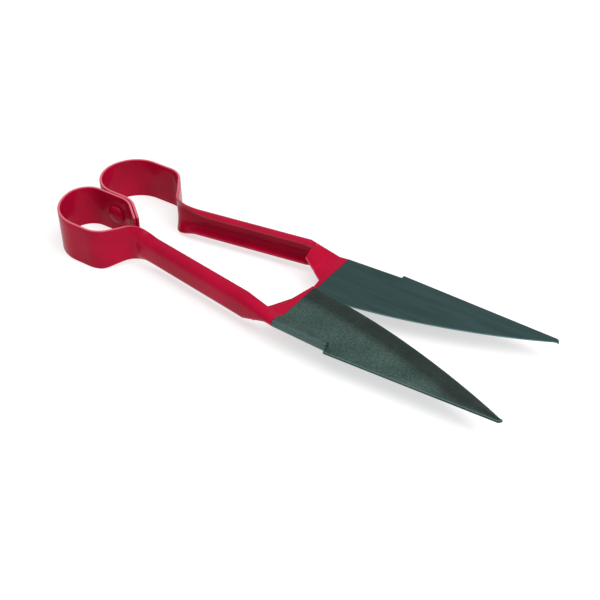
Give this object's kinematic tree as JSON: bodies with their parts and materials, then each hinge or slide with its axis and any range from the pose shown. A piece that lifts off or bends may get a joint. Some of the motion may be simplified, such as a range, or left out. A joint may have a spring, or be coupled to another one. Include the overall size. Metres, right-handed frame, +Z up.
{
  "type": "grass shears",
  "caption": "Double-bow grass shears: two sprung sheet-steel halves with gutter handles and pointed blades, riveted at the bows.",
  "frame": {"origin": "on the surface that the bows stand on, at the middle of the shears' length and width", "axes": "+X from the bows to the blade tips, +Y from the front half to the rear half, +Z up through the bows"},
  "size_m": [0.331, 0.0909, 0.029],
  "materials": {
    "red_paint": "glossy red dip paint, smooth and slightly uneven",
    "blackened_steel": "satin blue-grey hardened steel, oxide-dark, finely speckled, ground along the edge"
  },
  "bodies": {
    "bow_spring": {"front_bow": "red_paint", "rear_bow": "red_paint", "bow_rivet": "red_paint"},
    "front_arm": {"front_handle": "red_paint", "front_blade": "blackened_steel"},
    "rear_arm": {"rear_handle": "red_paint", "rear_blade": "blackened_steel"}
  },
  "joints": [
    {"name": "front_squeeze", "type": "hinge", "parent": "bow_spring", "child": "front_arm", "pos_m": [-0.1345, -0.021, 0.0145], "axis": [0, 0, 1], "range_deg": [0, 7.5], "stiffness_Nm_per_rad": 12, "deforming": ["front_bow"]},
    {"name": "rear_squeeze", "type": "hinge", "parent": "bow_spring", "child": "rear_arm", "pos_m": [-0.1345, 0.0232, 0.0145], "axis": [0, 0, -1], "range_deg": [0, 7.5], "stiffness_Nm_per_rad": 12, "deforming": ["rear_bow"]}
  ],
  "couplings": [
    {"joint": "rear_squeeze", "follows": "front_squeeze", "ratio": 1}
  ]
}
